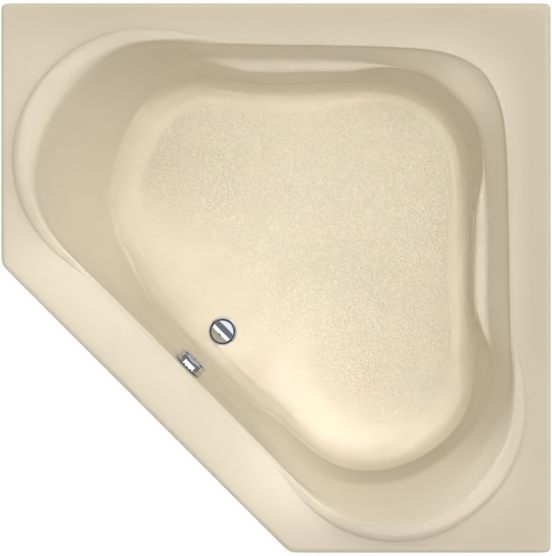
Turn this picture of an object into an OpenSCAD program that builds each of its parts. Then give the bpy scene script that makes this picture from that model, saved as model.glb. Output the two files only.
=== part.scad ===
// Drop-in corner soaking bath. Millimetres, Z up, the feet stand on z = 0.
// The room corner is at +X +Y and the cut front edge faces -X -Y.

/* [Deck] */
// Length of each wall side of the deck
deck_side = 1524; // [1480:1:1600]
// Length of the two short returns beside the cut front
return_len = 725; // [700:1:750]
// Height of the deck's flat top above the floor of the room
deck_z = 560; // [556:1:580]
// Height of the turned-down lip at the deck's edge
lip_h = 36; // [34:1:50]
// Roll radius where the deck turns down into the lip
lip_roll = 12; // [6:1:14]
// How far the crescent rolls stand above the deck
crest_h = 28; // [10:1:36]

/* [Basin] */
// Depth of the basin's floor below the deck
basin_depth = 430; // [400:5:450]
// Basin centre to the straight front of the mouth
mouth_front = 356; // [350:1:362]
// Basin centre to the straight front of the floor
floor_front = 270; // [268:1:274]
// Depth of the armrest ledges below the deck
ledge_depth = 138; // [120:1:160]
// Acrylic thickness
shell_t = 5; // [4:0.5:6]
// Glass-fibre backing thickness
backing_t = 4; // [3:0.5:5]
// Gap left between pieces that are bonded together
bond_gap = 0.3; // [0.2:0.05:0.4]

/* [Rim rails and cradle] */
// Rim rail width across the deck
rim_rail_w = 40; // [30:1:40]
// Rim rail height
rim_rail_h = 22; // [16:1:24]
// Gap between the lip's inner face and the rim rails
rim_rail_gap = 3; // [2:0.5:5]
// Floor board thickness
board_t = 16; // [12:1:18]
// Square tube size of the cradle
tube = 25; // [20:1:30]
// Square tube wall
tube_wall = 2; // [1.5:0.5:3]
// Side rails, distance from the middle line
side_rail_w = 290; // [260:1:310]
// Front cross rail, distance in front of the basin centre
front_rail_s = 118; // [90:1:125]
// Front cross rail, half length
front_rail_half = 455; // [430:1:460]
// Rear cross rail, distance behind the basin centre
rear_rail_s = 400; // [360:1:410]
// Nose rail end, distance behind the basin centre
nose_end_s = 625; // [590:1:635]

/* [Feet] */
// Thread size of the levelling studs
stud_d = 12; // [10:1:14]
// Running clearance of a stud in its nut, on the radius
stud_gap = 0.06; // [0.03:0.01:0.09]
// Foot pad diameter
pad_d = 50; // [40:1:60]
// Foot pad height
pad_h = 12; // [10:1:16]
// How far a stud reaches up into its rail
stud_in = 10; // [9:0.5:11]
// Lock nut height
nut_h = 8; // [7:0.5:10]

/* [Waste] */
// Drain centre, distance in front of the basin centre
drain_s = 224; // [218:1:226]
// Drain flange diameter
flange_d = 84; // [78:1:86]
// Drain barrel outer diameter
barrel_d = 46; // [44:0.5:47]
// Hole through the bath for a barrel
bath_hole_d = 50; // [49:0.5:52]
// Stopper cap diameter
cap_d = 66; // [62:1:68]
// Stopper travel from shut to open
lift = 11; // [6:0.5:12]
// Stopper stem diameter
stem_d = 8; // [7:0.5:9]
// Running clearance of stem and spindle, on the radius
slip_gap = 0.06; // [0.03:0.01:0.09]
// Outer diameter of the waste tubes
pipe_d = 38.1; // [38:0.1:40]
// Wall of the waste tubes
pipe_wall = 1.5; // [1:0.5:2]
// Overflow pipe, distance in front of the basin centre
pipe_s = 402; // [396:1:408]
// Waste tube's middle line, below the top of the basin's floor
waste_drop = 53; // [51:0.5:55]
// Outlet's open end, below the waste tube's middle line
outlet_reach = 67; // [63:1:71]
// Outer diameter of the outlet's exposed end
outlet_d = 40; // [39:0.5:42]

/* [Overflow] */
// Depth of the overflow's centre below the deck
overflow_depth = 74; // [70:1:90]
// Turn knob diameter
knob_d = 88; // [80:1:90]
// Turn knob thickness
knob_t = 24; // [18:1:26]
// Trim ring diameter
trim_d = 74; // [70:1:78]
// Spindle diameter
spindle_d = 9; // [8:0.5:10]
// Control cable diameter
cable_d = 6; // [5:0.5:7]
// Control cable bend radius
cable_bend = 45; // [40:1:50]
// Control cable, distance from the middle line
cable_w = 40; // [38:1:44]

/* [Build] */
// Draw every node, or just one of them

/* [Hidden] */
$fn = 48;
e = 0.01;
half = deck_side / 2;
centre_s = half * sqrt(2);
front_s = (deck_side + return_len) / sqrt(2) - centre_s;
floor_z = deck_z - basin_depth;
waste_z = floor_z - waste_drop;
outlet_z = waste_z - outlet_reach;
backing_z = floor_z - shell_t - bond_gap - backing_t;
board_top = backing_z - bond_gap;
rail_top = board_top - board_t;
rail_z = rail_top - tube;
rim_rail_top = deck_z - shell_t - backing_t - 2 * bond_gap;
rim_rail_in = shell_t + rim_rail_gap;
steel = [0.35, 0.37, 0.4];
plastic = [0.12, 0.12, 0.13];
chrome = [0.8, 0.82, 0.85];
rubber = [0.08, 0.08, 0.08];
acrylic = [0.9, 0.84, 0.72];
timber = [0.72, 0.55, 0.35];

// Outlines are radii about the basin centre on a 1524 mm deck, and grow with the
// deck. Angle 0 is the middle of the cut front, 180 is the room corner, and both
// halves are alike.
fit = deck_side / 1524;

// Mouth of the basin: the lobe, the straight wall side and the room corner
mouth_pts = [[40, 478], [53, 592], [59, 656], [65, 703], [72, 735], [82, 760],
  [95, 769], [103, 755], [111, 715], [119, 674], [127, 653], [135, 647],
  [145, 657], [155, 690], [167, 745], [174, 778], [180, 800]];
// Outward from the mouth to the outer foot of the crescent roll
foot_pts = [[0, 22], [45, 22], [52, 48], [64, 62], [77, 84], [91, 80],
  [106, 56], [112, 47], [119, 22], [180, 22]];
// Outward from the mouth to the roll's inner edge
crest_pts = [[0, 10], [47, 8], [59, 9], [70, 22], [82, 26], [96, 22],
  [105, 14], [119, 10], [180, 10]];
// Share of the roll's height
rise_pts = [[0, 0], [45, 0], [60, 0.7], [82, 1], [100, 0.9], [112, 0.55],
  [119, 0], [180, 0]];
// Inward from the mouth to the back of the armrest ledge and its crease
crease_pts = [[0, 10], [40, 14], [46, 30], [53, 62], [65, 92], [80, 88], [95, 78],
  [109, 48], [120, 32], [135, 27], [150, 27], [160, 38], [170, 52], [180, 70]];
// Width of the armrest ledge
ledge_pts = [[0, 1], [112, 2], [118, 12], [123, 36], [129, 44], [150, 40],
  [156, 32], [162, 4], [180, 3]];
// Edge of the flat floor
floor_pts = [[40, 360], [52, 412], [60, 462], [70, 512], [79, 550], [90, 585],
  [100, 600], [110, 590], [117, 568], [125, 540], [135, 525], [145, 535],
  [155, 565], [165, 610], [172, 645], [180, 662]];

// Smooth curve through [angle, value] points
function seg(p, a, i = 0) = i >= len(p) - 2 || a < p[i + 1][0] ? i : seg(p, a, i + 1);
function slope(p, i) = i == 0 || i == len(p) - 1 ? 0
  : (p[i + 1][1] - p[i - 1][1]) / (p[i + 1][0] - p[i - 1][0]);
function curve(p, a) = let (i = seg(p, a), w = p[i + 1][0] - p[i][0],
    f = min(max((a - p[i][0]) / w, 0), 1), g = 1 - f)
  g * g * (1 + 2 * f) * p[i][1] + f * f * (3 - 2 * f) * p[i + 1][1]
  + w * f * g * (g * slope(p, i) - f * slope(p, i + 1));

// Radius to a straight side at distance d that faces direction dir
function side(d, dir, a) = cos(a - dir) > 0.05 ? d / cos(a - dir) : 20 * d;

// Deck outline, inset by d: five straight sides with softly rounded corners
corner_power = 128;
function deck(a, d) = pow(
  pow(side(front_s - d, 0, a) / half, -corner_power)
  + pow(side(half - d, 45, a) / half, -corner_power)
  + pow(side(half - d, 135, a) / half, -corner_power)
  + pow(side(half - d, -135, a) / half, -corner_power),
  -1 / corner_power) * half;

// Depth below the deck where the roll-over ends and the wall begins
mouth_drop = 12;
function grown(p, a) = fit * curve(p, a);
function mouth(a) = min(grown(mouth_pts, a), side(mouth_front, 0, a));
function crease(a) = mouth(a) - grown(crease_pts, a);
function basin_floor(a) = min(grown(floor_pts, a), side(floor_front, 0, a));

// Cove between wall and floor, and the ledge's rounded front edge
cove_w = 38;
cove_h = 64;
ledge_drop = 5;
ledge_round = 20;

// The moulding's rings from the lip inwards, at angle a. Each is a radius, a
// height, and the way (radius, height) that the thickness is laid on.
function rings(a) = let (m = mouth(a), foot = m + grown(foot_pts, a),
    crest = m + grown(crest_pts, a), h = crest_h * curve(rise_pts, a),
    back = crease(a), lip = back - grown(ledge_pts, a),
    turn = -0.1 - 0.016 * curve(ledge_pts, a),
    flat = basin_floor(a), wall = flat + cove_w)
  [[deck(a, 0), deck_z - lip_h, -1, 0],
   [deck(a, 0), deck_z - lip_roll, -1, 0],
   [deck(a, 0.3 * lip_roll), deck_z - 0.3 * lip_roll, -0.8, -0.6],
   [deck(a, lip_roll), deck_z, -0.2, -1],
   [foot, deck_z, 0, -1],
   [foot - 0.35 * (foot - crest), deck_z + 0.6 * h, 0, -1],
   [foot - 0.7 * (foot - crest), deck_z + h, 0.1, -1],
   [crest, deck_z + 0.92 * h, 0.4, -0.9],
   [m + 0.2 * mouth_drop, deck_z - 0.25 * mouth_drop + 0.4 * h, 0.9, -0.6],
   [m, deck_z - mouth_drop, 1, -0.1],
   [(m + back) / 2, deck_z - (ledge_depth + mouth_drop) / 2, 1, -0.1],
   [back, deck_z - ledge_depth, 1, turn],
   [lip, deck_z - ledge_depth - ledge_drop, 1, turn],
   [lip - 0.15 * ledge_round, deck_z - ledge_depth - ledge_round, 1, -0.1],
   [(lip + wall) / 2, deck_z - (ledge_depth + basin_depth - 0.7 * cove_h) / 2, 1, -0.1],
   [wall, floor_z + cove_h, 1, -0.2],
   [flat + 0.63 * cove_w, floor_z + 0.375 * cove_h, 0.8, -0.7],
   [flat + 0.24 * cove_w, floor_z + 0.09 * cove_h, 0.4, -1],
   [flat, floor_z, 0.1, -1],
   [0.55 * flat, floor_z, 0, -1]];

// Direction of the corner between the cut front and a return
corner_a = atan2((deck_side - return_len) / sqrt(2), front_s);

// Directions of the loft: close together at the deck's corners
near = [-1, -0.4, 0, 0.4, 1];
function spread(a0, a1, n) = [for (i = [1:n - 1]) a0 + (a1 - a0) * i / n];
half_dirs = concat([0], spread(0, corner_a - 1, 9), [for (d = near) corner_a + d],
  spread(corner_a + 1, 89, 11), [for (d = near) 90 + d],
  spread(91, 179, 22), [179, 179.6, 180]);
dirs = concat(half_dirs, [for (i = [len(half_dirs) - 2:-1:1]) -half_dirs[i]]);

function at(a, ring, d) = [centre_s + (ring[0] + ring[2] * d) * cos(a),
  (ring[0] + ring[2] * d) * sin(a), ring[1] + ring[3] * d];
function layer(d, first) = [for (k = [first:len(rings(0)) - 1], a = dirs)
  at(a, rings(abs(a))[k], d)];

// Skin between two offsets of the moulding, from ring number first inwards
module skin(d0, d1, first) {
  n = len(dirs);
  rows = len(rings(0)) - first;
  top = layer(d0, first);
  under = layer(d1, first);
  m = n * rows;
  quads = [for (k = [0:rows - 2], i = [0:n - 1]) let (j = (i + 1) % n)
    [k * n + i, k * n + j, (k + 1) * n + j, (k + 1) * n + i]];
  polyhedron(
    points = concat(top, under, [[centre_s, 0, floor_z - d0], [centre_s, 0, floor_z - d1]]),
    faces = concat(
      [for (q = quads, t = [[2, 1, 0], [3, 2, 0]]) [for (c = t) q[c]]],
      [for (q = quads, t = [[0, 1, 2], [0, 2, 3]]) [for (c = t) q[c] + m]],
      [for (i = [0:n - 1]) let (j = (i + 1) % n) [m - n + j, m - n + i, 2 * m]],
      [for (i = [0:n - 1]) let (j = (i + 1) % n) [2 * m - n + i, 2 * m - n + j, 2 * m + 1]],
      [for (i = [0:n - 1], t = [0, 1]) let (j = (i + 1) % n)
        t == 0 ? [i, j, m + j] : [i, m + j, m + i]]));
}

// Row frame to diagonal frame: x runs from the room corner to the cut front,
// y across it
module diagonal() translate([half, half, 0]) rotate(225) children();
// Origin at the basin centre, s towards the front
module spot(s, w = 0, z = 0) diagonal() translate([centre_s + s, w, z]) children();

// Overflow frame: on the front wall, +Z into the basin
wall_tilt = atan2(mouth_front - crease(0), ledge_depth - mouth_drop);
overflow_s = mouth_front - (overflow_depth - mouth_drop) * tan(wall_tilt);
module on_wall() spot(overflow_s, 0, deck_z - overflow_depth)
  rotate([0, wall_tilt - 90, 0]) children();

module tube_ring(od, id, h) difference() {
  cylinder(d = od, h = h);
  translate([0, 0, -e]) cylinder(d = id, h = h + 2 * e);
}

// Shell and backing

module bath_holes() {
  spot(drain_s, 0, floor_z - 40) cylinder(d = bath_hole_d, h = 80);
  on_wall() translate([0, 0, -40]) cylinder(d = bath_hole_d, h = 80);
}

module tub_shell() color(acrylic) difference() {
  diagonal() skin(0, shell_t, 0);
  bath_holes();
}

module shell_backing() color([0.75, 0.72, 0.6]) difference() {
  diagonal() skin(shell_t + bond_gap, shell_t + bond_gap + backing_t, 3);
  bath_holes();
}

// Rim rails, mitred where they meet

function rim_corner(i, d) = [
  [half - d, half - d],
  [d - half, half - d],
  [d - half, half - return_len + d * (sqrt(2) - 1)],
  [half - return_len + d * (sqrt(2) - 1), d - half],
  [half - d, d - half]][i % 5];

module rim_rail(i) color(timber) translate([0, 0, rim_rail_top - rim_rail_h]) difference() {
  linear_extrude(height = rim_rail_h)
    polygon([rim_corner(i, rim_rail_in), rim_corner(i + 1, rim_rail_in),
      rim_corner(i + 1, rim_rail_in + rim_rail_w), rim_corner(i, rim_rail_in + rim_rail_w)]);
  for (k = [i, i + 1]) translate(concat(rim_corner(k, rim_rail_in), [-e]))
    cylinder(d = lip_roll, h = rim_rail_h + 2 * e);
}

// Floor board and cradle

board_inset = 22;
board_hole_d = 96;
module floor_board() color(timber) difference() {
  diagonal() translate([0, 0, board_top - board_t]) linear_extrude(height = board_t)
    polygon([for (a = dirs) [centre_s + (basin_floor(abs(a)) - board_inset) * cos(a),
      (basin_floor(abs(a)) - board_inset) * sin(a)]]);
  spot(drain_s, 0, board_top - board_t - e) cylinder(d = board_hole_d, h = board_t + 1);
  for (p = screw_spots) spot(p[0], p[1], board_top - board_t - e)
    cylinder(d = screw_d + 0.2, h = screw_len - tube + 1);
}

// Square tube centred on y, from x = 0 to len
module square_tube(len) difference() {
  translate([0, -tube / 2, 0]) cube([len, tube, tube]);
  translate([-e, tube_wall - tube / 2, tube_wall])
    cube([len + 2 * e, tube - 2 * tube_wall, tube - 2 * tube_wall]);
}

rear_foot_s = rear_rail_s + 25;
foot_spots = [[front_rail_s, -front_rail_half + 25], [front_rail_s, front_rail_half - 25],
  [-rear_foot_s, -side_rail_w], [-rear_foot_s, side_rail_w], [-nose_end_s + 25, 0]];
module at_foot(i) spot(foot_spots[i][0], foot_spots[i][1]) children();

screw_d = 5;
screw_head_d = 10;
screw_len = tube + 12;
screw_spots = [[front_rail_s, -180], [front_rail_s, 180], [front_rail_s, -360],
  [front_rail_s, 360], [-120, -side_rail_w], [-120, side_rail_w],
  [-340, -side_rail_w], [-340, side_rail_w], [-rear_rail_s, -140],
  [-rear_rail_s, 140], [-500, 0]];

module cradle_bores() {
  for (i = [0:len(foot_spots) - 1]) at_foot(i) translate([0, 0, rail_z - e])
    cylinder(d = stud_d + 2 * stud_gap, h = tube_wall + 2 * e);
  for (p = screw_spots) spot(p[0], p[1], rail_z - e)
    cylinder(d = screw_d + 0.4, h = tube + 2 * e);
}

module cradle_front_rail() color(steel) difference() {
  spot(front_rail_s, -front_rail_half, rail_z) rotate(90) square_tube(2 * front_rail_half);
  cradle_bores();
}
side_rail_rear = -rear_foot_s - 25;
side_rail_len = front_rail_s - tube / 2 - side_rail_rear;
module cradle_side_rail(dir) color(steel) difference() {
  spot(side_rail_rear, dir * side_rail_w, rail_z) square_tube(side_rail_len);
  cradle_bores();
}
module cradle_rear_rail() color(steel) difference() {
  spot(-rear_rail_s, -side_rail_w + tube / 2, rail_z) rotate(90)
    square_tube(2 * side_rail_w - tube);
  cradle_bores();
}
module cradle_nose_rail() color(steel) difference() {
  spot(-nose_end_s, 0, rail_z) square_tube(nose_end_s - rear_rail_s - tube / 2);
  cradle_bores();
}

module cradle_screws() color(steel) for (p = screw_spots) spot(p[0], p[1], rail_z) {
  translate([0, 0, -4]) cylinder(d = screw_head_d, h = 4);
  translate([0, 0, -e]) cylinder(d = screw_d, h = screw_len);
}

// Feet

module foot_lock_nuts() color(steel) for (i = [0:len(foot_spots) - 1])
  at_foot(i) translate([0, 0, rail_z - nut_h]) difference() {
    cylinder(d = stud_d * 1.85, h = nut_h, $fn = 6);
    translate([0, 0, -e]) cylinder(d = stud_d + 2 * stud_gap, h = nut_h + 2 * e);
  }

module foot_stud(i) color(chrome) at_foot(i) translate([0, 0, pad_h / 2])
  cylinder(d = stud_d, h = rail_z + stud_in - pad_h / 2);

module foot_pad(i) color(rubber) at_foot(i) difference() {
  union() {
    cylinder(d = pad_d, h = pad_h * 0.6);
    translate([0, 0, pad_h * 0.6 - e]) cylinder(d = pad_d * 0.5, h = pad_h * 0.4);
  }
  translate([0, 0, pad_h / 2]) cylinder(d = stud_d, h = pad_h);
}

// Drain, along its own upright axis at the drain's place

flange_t = 2.5;
barrel_bore = barrel_d - 7;
gasket_t = 3;
shoe_top = backing_z - gasket_t;
shoe_d = barrel_d + 14;
shoe_floor = waste_z - pipe_d / 2 - 5;
barrel_end = shoe_top - 12;
seat_d = cap_d - 8;

module at_drain(z = 0) spot(drain_s, 0, z) children();

module drain_flange() color(chrome) at_drain() {
  difference() {
    union() {
      translate([0, 0, floor_z]) cylinder(d1 = flange_d, d2 = flange_d - 6, h = flange_t);
      translate([0, 0, barrel_end]) cylinder(d = barrel_d, h = floor_z - barrel_end + e);
    }
    translate([0, 0, barrel_end - e]) cylinder(d = barrel_bore, h = floor_z);
  }
  for (r = [0, 90]) rotate(r) difference() {
    translate([-barrel_bore / 2 - 1, -2, barrel_end]) cube([barrel_bore + 2, 4, 8]);
    translate([0, 0, barrel_end - e]) cylinder(d = 2 * stem_d - 1, h = 10);
  }
  translate([0, 0, barrel_end]) tube_ring(2 * stem_d, stem_d + 2 * slip_gap, 8);
}

module drain_gasket() color(rubber) at_drain(shoe_top)
  tube_ring(shoe_d + 10, barrel_d + 1, gasket_t);

tee_d = pipe_d + 9;
socket_d = pipe_d + 8;
socket_gap = 0.15;
shoe_socket_s = 52;
module drain_shoe() color(plastic) at_drain() difference() {
  union() {
    translate([0, 0, shoe_top - 6]) cylinder(d = shoe_d + 10, h = 6);
    translate([0, 0, shoe_floor]) cylinder(d = shoe_d, h = shoe_top - shoe_floor);
    translate([0, 0, waste_z]) rotate([0, 90, 0]) cylinder(d = socket_d, h = shoe_socket_s);
    translate([-8, shoe_d / 2 - 8, waste_z - 9]) cube([16, cable_w + 14 - shoe_d / 2, 14]);
  }
  translate([0, 0, barrel_end - 2]) cylinder(d = barrel_d + 0.1, h = 40);
  translate([0, 0, shoe_floor + 3]) cylinder(d = barrel_bore, h = 60);
  translate([0, 0, waste_z]) rotate([0, 90, 0])
    cylinder(d = pipe_d + 2 * socket_gap, h = shoe_socket_s + 1);
  translate([0, cable_w, waste_z - 2]) rotate([0, 90, 0]) cylinder(d = cable_d + 0.2, h = 40);
}

seal_t = 2.5;
cap_edge = 2.5;
cap_rise = 5;
module stopper_cap() color(chrome) at_drain(floor_z + flange_t + seal_t) rotate_extrude($fn = 72)
  polygon(concat([[0, 0], [cap_d / 2, 0]], [for (i = [0:8]) let (x = cap_d / 2 * (1 - i / 8))
    [x, cap_edge + cap_rise * (1 - pow(2 * x / cap_d, 2))]]));
module stopper_seal() color(rubber) at_drain(floor_z + flange_t)
  tube_ring(seat_d, stem_d, seal_t);
// The stem still reaches below its guide when it is lifted
stem_end = barrel_end - 2 * lift - 3;
module stopper_stem() color(chrome) at_drain(stem_end)
  cylinder(d = stem_d, h = floor_z + flange_t + seal_t - stem_end + e);

// Waste tubes and tee

socket_in = 20;
tee_reach = 34;
module along_s(s) spot(s, 0, waste_z) rotate([0, 90, 0]) children();
waste_tube_s = drain_s + shoe_socket_s - socket_in;
waste_tube_end = pipe_s - tee_reach + socket_in - 8;
module waste_tube() color(chrome) along_s(waste_tube_s)
  tube_ring(pipe_d, pipe_d - 2 * pipe_wall, waste_tube_end - waste_tube_s);

tee_bottom = waste_z - 27;
tee_top = waste_z + 41;
slip_nut_h = 15;
module waste_tee() color(plastic) difference() {
  union() {
    spot(pipe_s, 0, tee_bottom) cylinder(d = tee_d, h = tee_top - tee_bottom);
    along_s(pipe_s - tee_reach) cylinder(d = socket_d, h = tee_reach);
  }
  spot(pipe_s, 0, tee_bottom - e)
    cylinder(d = pipe_d + 2 * socket_gap, h = tee_top - tee_bottom + 2 * e);
  along_s(pipe_s - tee_reach - e) cylinder(d = pipe_d + 2 * socket_gap, h = tee_reach);
}
outlet_top = tee_bottom - slip_nut_h - 1;
module outlet_tailpiece() color(chrome) spot(pipe_s, 0, outlet_z) difference() {
  union() {
    cylinder(d = outlet_d, h = outlet_top - outlet_z);
    cylinder(d = pipe_d, h = tee_bottom + 9 - outlet_z);
  }
  translate([0, 0, -e]) cylinder(d = pipe_d - 2 * pipe_wall, h = tee_top);
}
module overflow_pipe() color(chrome) spot(pipe_s, 0, tee_top - 14)
  tube_ring(pipe_d, pipe_d - 2 * pipe_wall, body_bottom + 14 - tee_top + 14);

slip_nut_d = tee_d + 8;
module slip_nut() difference() {
  cylinder(d = slip_nut_d, h = slip_nut_h, $fn = 8);
  translate([0, 0, -e]) cylinder(d = pipe_d + 2 * socket_gap, h = slip_nut_h + 2 * e);
}
module slip_nuts() color(plastic) {
  along_s(drain_s + shoe_socket_s) slip_nut();
  along_s(pipe_s - tee_reach - slip_nut_h) slip_nut();
  spot(pipe_s, 0, tee_top) slip_nut();
  spot(pipe_s, 0, tee_bottom - slip_nut_h) slip_nut();
  spot(pipe_s, 0, body_bottom - slip_nut_h) slip_nut();
}

// Overflow behind and in front of the wall

wall_back = shell_t + backing_t + 2 * bond_gap;
body_z = deck_z - overflow_depth;
body_d = bath_hole_d + 16;
body_bore = barrel_d + 0.1;
body_bottom = body_z - 56;
body_len = 62;

module overflow_gasket() color(rubber) on_wall() translate([0, 0, -wall_back - gasket_t])
  tube_ring(body_d, barrel_d + 1, gasket_t);

module overflow_body() color(plastic) difference() {
  union() {
    on_wall() translate([0, 0, -wall_back - gasket_t - body_len])
      cylinder(d = body_d, h = body_len);
    spot(pipe_s, 0, body_bottom) cylinder(d = socket_d, h = body_z - body_bottom - 12);
    spot(pipe_s - 4, 0, body_bottom) cube([12, cable_w + 6, 16]);
  }
  on_wall() translate([0, 0, -wall_back - gasket_t - body_len + 5])
    cylinder(d = body_bore, h = body_len);
  spot(pipe_s, 0, body_bottom - e)
    cylinder(d = pipe_d + 2 * socket_gap, h = body_z - body_bottom - 16);
  spot(pipe_s + 2, cable_w, body_bottom - e) cylinder(d = cable_d + 0.2, h = 12);
}

trim_t = 3;
barrel_reach = wall_back + gasket_t + 14;
knob_gap = 1;
module overflow_trim() color(chrome) on_wall() {
  difference() {
    union() {
      cylinder(d1 = trim_d, d2 = trim_d - 3, h = trim_t);
      translate([0, 0, -barrel_reach]) cylinder(d = barrel_d, h = barrel_reach + e);
    }
    translate([0, 0, -barrel_reach - e]) cylinder(d = barrel_bore, h = barrel_reach + 10);
  }
  for (r = [0, 90]) rotate(r) difference() {
    translate([-barrel_bore / 2 - 1, -2, -barrel_reach]) cube([barrel_bore + 2, 4, 8]);
    translate([0, 0, -barrel_reach - e]) cylinder(d = 2 * spindle_d - 1, h = 10);
  }
  translate([0, 0, -barrel_reach]) tube_ring(2 * spindle_d, spindle_d + 2 * slip_gap, 8);
}

drum_t = 7;
spindle_in = -barrel_reach - drum_t - 3;
knob_z = trim_t + knob_gap;
module overflow_spindle() color(steel) on_wall() translate([0, 0, spindle_in])
  cylinder(d = spindle_d, h = knob_z + 8 - spindle_in);
module overflow_cable_drum() color(plastic) on_wall()
  translate([0, 0, -barrel_reach - drum_t - 1]) difference() {
    union() {
      cylinder(d = 30, h = drum_t);
      translate([0, -3, 0]) cube([18, 6, drum_t]);
    }
    translate([0, 0, -e]) cylinder(d = spindle_d, h = drum_t + 2 * e);
  }

knob_edge = 4;
knob_wall = 3;
hub_d = 22;
notch_w = 6;
notch_h = 4;
module overflow_knob() color(chrome) on_wall() translate([0, 0, knob_z]) difference() {
  rotate_extrude($fn = 96) polygon(concat([[0, 0], [knob_d / 2 - 2, 0], [knob_d / 2, 2]],
    [for (i = [0:6]) let (t = 15 * i) [knob_d / 2 - knob_edge + knob_edge * cos(t),
      knob_t - knob_edge + knob_edge * sin(t)]], [[0, knob_t]]));
  translate([0, 0, -e]) tube_ring(knob_d - 2 * knob_wall, hub_d, knob_t - knob_wall);
  translate([0, 0, -e]) cylinder(d = spindle_d, h = 8 + e);
  for (r = [-16, 0, 16, 164, 180, 196]) rotate(r)
    translate([-knob_d / 2 - 1, -notch_w / 2, -e]) cube([knob_wall + 4, notch_w, notch_h]);
  translate([0, 0, 3.5]) rotate([0, 90, 0]) cylinder(d = screw_d, h = knob_d);
}
module knob_screw() color(steel) on_wall() translate([spindle_d / 2, 0, knob_z + 3.5])
  rotate([0, 90, 0]) cylinder(d = screw_d, h = (hub_d - spindle_d) / 2 - 0.5);

// Control cable from the overflow body down to the drain shoe

cable_s = pipe_s + 2;
cable_z = waste_z - 2;
cable_top = body_bottom + 12;
cable_turn_z = cable_z + cable_bend;
module control_cable() color(plastic) {
  spot(cable_s, cable_w, cable_turn_z) cylinder(d = cable_d, h = cable_top - cable_turn_z, $fn = 24);
  spot(cable_s - cable_bend, cable_w, cable_turn_z) rotate([90, 0, 0])
    rotate_extrude(angle = -90, $fn = 72) translate([cable_bend, 0]) circle(d = cable_d, $fn = 24);
  spot(drain_s + 2, cable_w, cable_z) rotate([0, 90, 0])
    cylinder(d = cable_d, h = cable_s - cable_bend - drain_s - 2, $fn = 24);
}
module cable_glands() color(steel) {
  spot(cable_s, cable_w, body_bottom - 10) tube_ring(12, cable_d, 10, $fn = 24);
  spot(drain_s + 9, cable_w, cable_z) rotate([0, 90, 0]) tube_ring(12, cable_d, 10, $fn = 24);
}

tub_shell();
shell_backing();
floor_board();
rim_rail(0);  // rim_rail_wall_back
rim_rail(1);  // rim_rail_return_left
rim_rail(2);  // rim_rail_front
rim_rail(3);  // rim_rail_return_bottom
rim_rail(4);  // rim_rail_wall_right
cradle_front_rail();
cradle_side_rail(-1);  // cradle_left_rail
cradle_side_rail(1);  // cradle_right_rail
cradle_rear_rail();
cradle_nose_rail();
cradle_screws();
foot_lock_nuts();
foot_stud(0);  // foot_stud_front_left
foot_stud(1);  // foot_stud_front_right
foot_stud(2);  // foot_stud_rear_left
foot_stud(3);  // foot_stud_rear_right
foot_stud(4);  // foot_stud_nose
foot_pad(0);  // foot_pad_front_left
foot_pad(1);  // foot_pad_front_right
foot_pad(2);  // foot_pad_rear_left
foot_pad(3);  // foot_pad_rear_right
foot_pad(4);  // foot_pad_nose
drain_flange();
drain_gasket();
drain_shoe();
stopper_cap();
stopper_seal();
stopper_stem();
waste_tube();
waste_tee();
outlet_tailpiece();
slip_nuts();
overflow_pipe();
overflow_body();
overflow_gasket();
overflow_trim();
overflow_spindle();
overflow_cable_drum();
overflow_knob();
knob_screw();
control_cable();
cable_glands();
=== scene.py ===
import math

import bmesh
import bpy
from mathutils import Matrix, Vector


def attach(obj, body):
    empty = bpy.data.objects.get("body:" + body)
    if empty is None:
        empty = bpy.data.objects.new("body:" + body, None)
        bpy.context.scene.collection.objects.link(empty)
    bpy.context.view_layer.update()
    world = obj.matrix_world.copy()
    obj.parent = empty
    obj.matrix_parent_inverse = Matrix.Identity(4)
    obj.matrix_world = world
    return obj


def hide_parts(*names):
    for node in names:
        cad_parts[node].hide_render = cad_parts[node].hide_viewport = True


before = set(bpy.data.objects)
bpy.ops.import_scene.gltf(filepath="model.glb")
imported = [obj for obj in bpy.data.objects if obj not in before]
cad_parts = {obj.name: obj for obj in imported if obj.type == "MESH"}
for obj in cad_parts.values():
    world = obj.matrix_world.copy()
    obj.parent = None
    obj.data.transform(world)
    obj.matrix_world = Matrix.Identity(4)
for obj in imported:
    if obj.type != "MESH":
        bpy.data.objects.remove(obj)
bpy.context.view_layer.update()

# Sizes of the bath, in metres
DECK_SIDE = 1.524
RETURN = 0.725
DECK_Z = 0.560
LIP_H = 0.036
LIP_ROLL = 0.012
CREST_H = 0.034
DEPTH = 0.430
MOUTH_FRONT = 0.356
MOUTH_DROP = 0.012
FLOOR_FRONT = 0.270
LEDGE_DEPTH = 0.138
SKIN = 0.005
BACKING = 0.004
BOND = 0.0003
DRAIN_S = 0.224
FLANGE_R = 0.042
CAP_R = 0.033
KNOB_R = 0.044
KNOB_T = 0.024
KNOB_Z = 0.004
PIPE_S = 0.402
WASTE_Z = 0.077
RAIL_Z = 0.0794
TUBE = 0.025
STUD_R = 0.006
BORE = 0.0192
RIM_TOP = 0.5504
RIM_IN = 0.008
RIM_W = 0.040
RIM_H = 0.022
HALF = DECK_SIDE / 2
FLOOR_Z = DECK_Z - DEPTH
CENTRE_S = HALF * math.sqrt(2)
FRONT_S = (DECK_SIDE + RETURN) / math.sqrt(2) - CENTRE_S
STEP_H = 0.010
CORNER_A = math.degrees(math.atan2((DECK_SIDE - RETURN) / math.sqrt(2), FRONT_S))

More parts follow.
